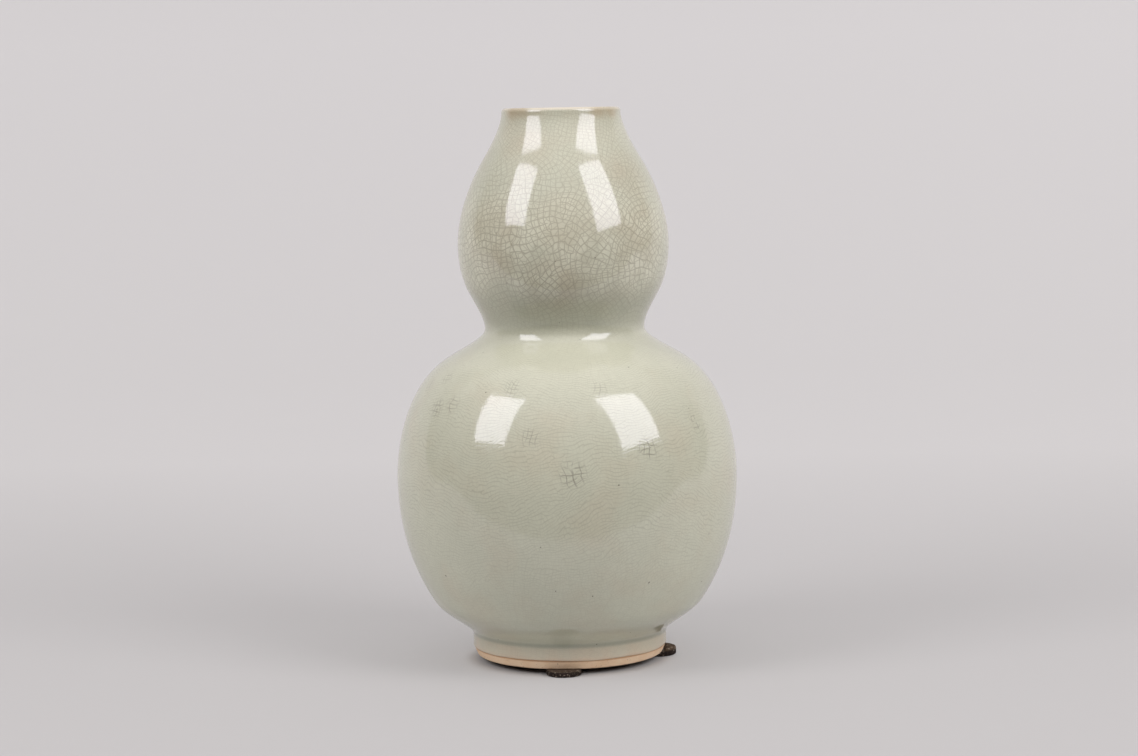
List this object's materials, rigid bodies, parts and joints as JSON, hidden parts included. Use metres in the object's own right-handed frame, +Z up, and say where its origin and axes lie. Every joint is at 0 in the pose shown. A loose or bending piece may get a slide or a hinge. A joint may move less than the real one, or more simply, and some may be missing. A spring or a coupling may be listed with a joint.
{
  "type": "double gourd vase",
  "caption": "Double gourd flower vase: a small bulb over a large one on a low foot ring, crackled pale green glaze, bare foot edge, felt pads under it.",
  "frame": {"origin": "on the vase's axis, at the level of the surface that its felt pads stand on", "axes": "+Z up along the vase's axis, -Y towards the viewer of the picture, +X to the viewer's right"},
  "size_m": [0.1854, 0.1854, 0.3],
  "materials": {
    "stoneware": "fired bare clay, matt",
    "luting_slip": "fired slip, matt",
    "celadon_glaze": "glossy crackled celadon glaze",
    "lining_glaze": "glossy poured glaze",
    "felt": "pressed dark brown felt",
    "adhesive": "dusty self-adhesive film"
  },
  "bodies": {
    "root": {"base_glaze": "celadon_glaze", "belly_luting": "luting_slip", "belly_section": "stoneware", "foot_luting": "luting_slip", "foot_ring": "stoneware", "front_pad": "felt", "front_pad_adhesive": "adhesive", "inner_glaze": "lining_glaze", "mouth_section": "stoneware", "outer_glaze": "celadon_glaze", "rear_pad": "felt", "rear_pad_adhesive": "adhesive", "right_pad": "felt", "right_pad_adhesive": "adhesive", "shoulder_section": "stoneware", "upper_bulb_luting": "luting_slip", "upper_bulb_section": "stoneware", "waist_luting": "luting_slip"}
  },
  "joints": []
}
